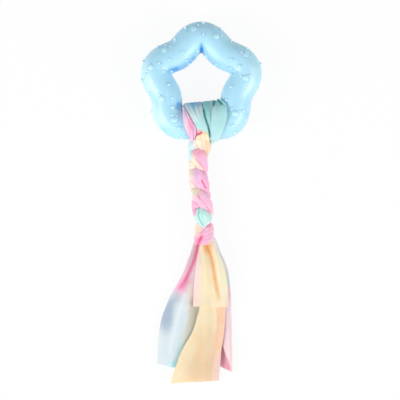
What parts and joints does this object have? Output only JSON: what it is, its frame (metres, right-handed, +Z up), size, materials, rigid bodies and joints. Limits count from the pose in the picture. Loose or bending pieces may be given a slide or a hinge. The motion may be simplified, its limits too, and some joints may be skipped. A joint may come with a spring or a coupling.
{
  "type": "rope ring dog toy",
  "caption": "Lobed soft rubber chew ring with nubs and raised pads, carrying a plait of folded cloth strips that ends in a knot and a fan of free ends.",
  "frame": {"origin": "under the middle of the toy's outline, on the surface that it lies on", "axes": "+Y along the toy from the tails to the ring, +Z up from the surface, +X to the right when the ring is at the top"},
  "size_m": [0.1094, 0.3305, 0.0317],
  "materials": {
    "ring_rubber": "satin",
    "cloth_pink": "matt",
    "cloth_mint": "matt",
    "cloth_sky": "matt",
    "cloth_peach": "matt",
    "cloth_grey_blue": "matt",
    "cloth_pale_pink": "matt"
  },
  "bodies": {
    "ring": {"chew_ring": "ring_rubber"},
    "braid": {"pink_loop": "cloth_pink", "mint_loop": "cloth_mint", "sky_loop": "cloth_sky", "strand_left": "cloth_pink", "strand_middle": "cloth_peach", "strand_right": "cloth_sky", "end_knot": "cloth_pink"},
    "tails": {"left_tail": "cloth_grey_blue", "right_tail": "cloth_pale_pink", "back_tail": "cloth_pink", "hidden_tail": "cloth_mint", "long_tail": "cloth_peach"},
    "front": {"front_tail": "cloth_peach"}
  },
  "joints": [
    {"name": "ring_swing", "type": "hinge", "parent": "ring", "child": "braid", "pos_m": [0, 0.0739, 0.0154], "axis": [-1, 0, 0], "range_deg": [-150, 150], "deforming": ["pink_loop", "mint_loop", "sky_loop"]},
    {"name": "tails_swing", "type": "hinge", "parent": "braid", "child": "tails", "pos_m": [0, -0.0442, 0.0078], "axis": [-1, 0, 0], "range_deg": [-90, 45]},
    {"name": "front_tail_lift", "type": "hinge", "parent": "tails", "child": "front", "pos_m": [0, -0.04198, 0.012], "axis": [-1, 0, 0], "range_deg": [0, 45]}
  ]
}
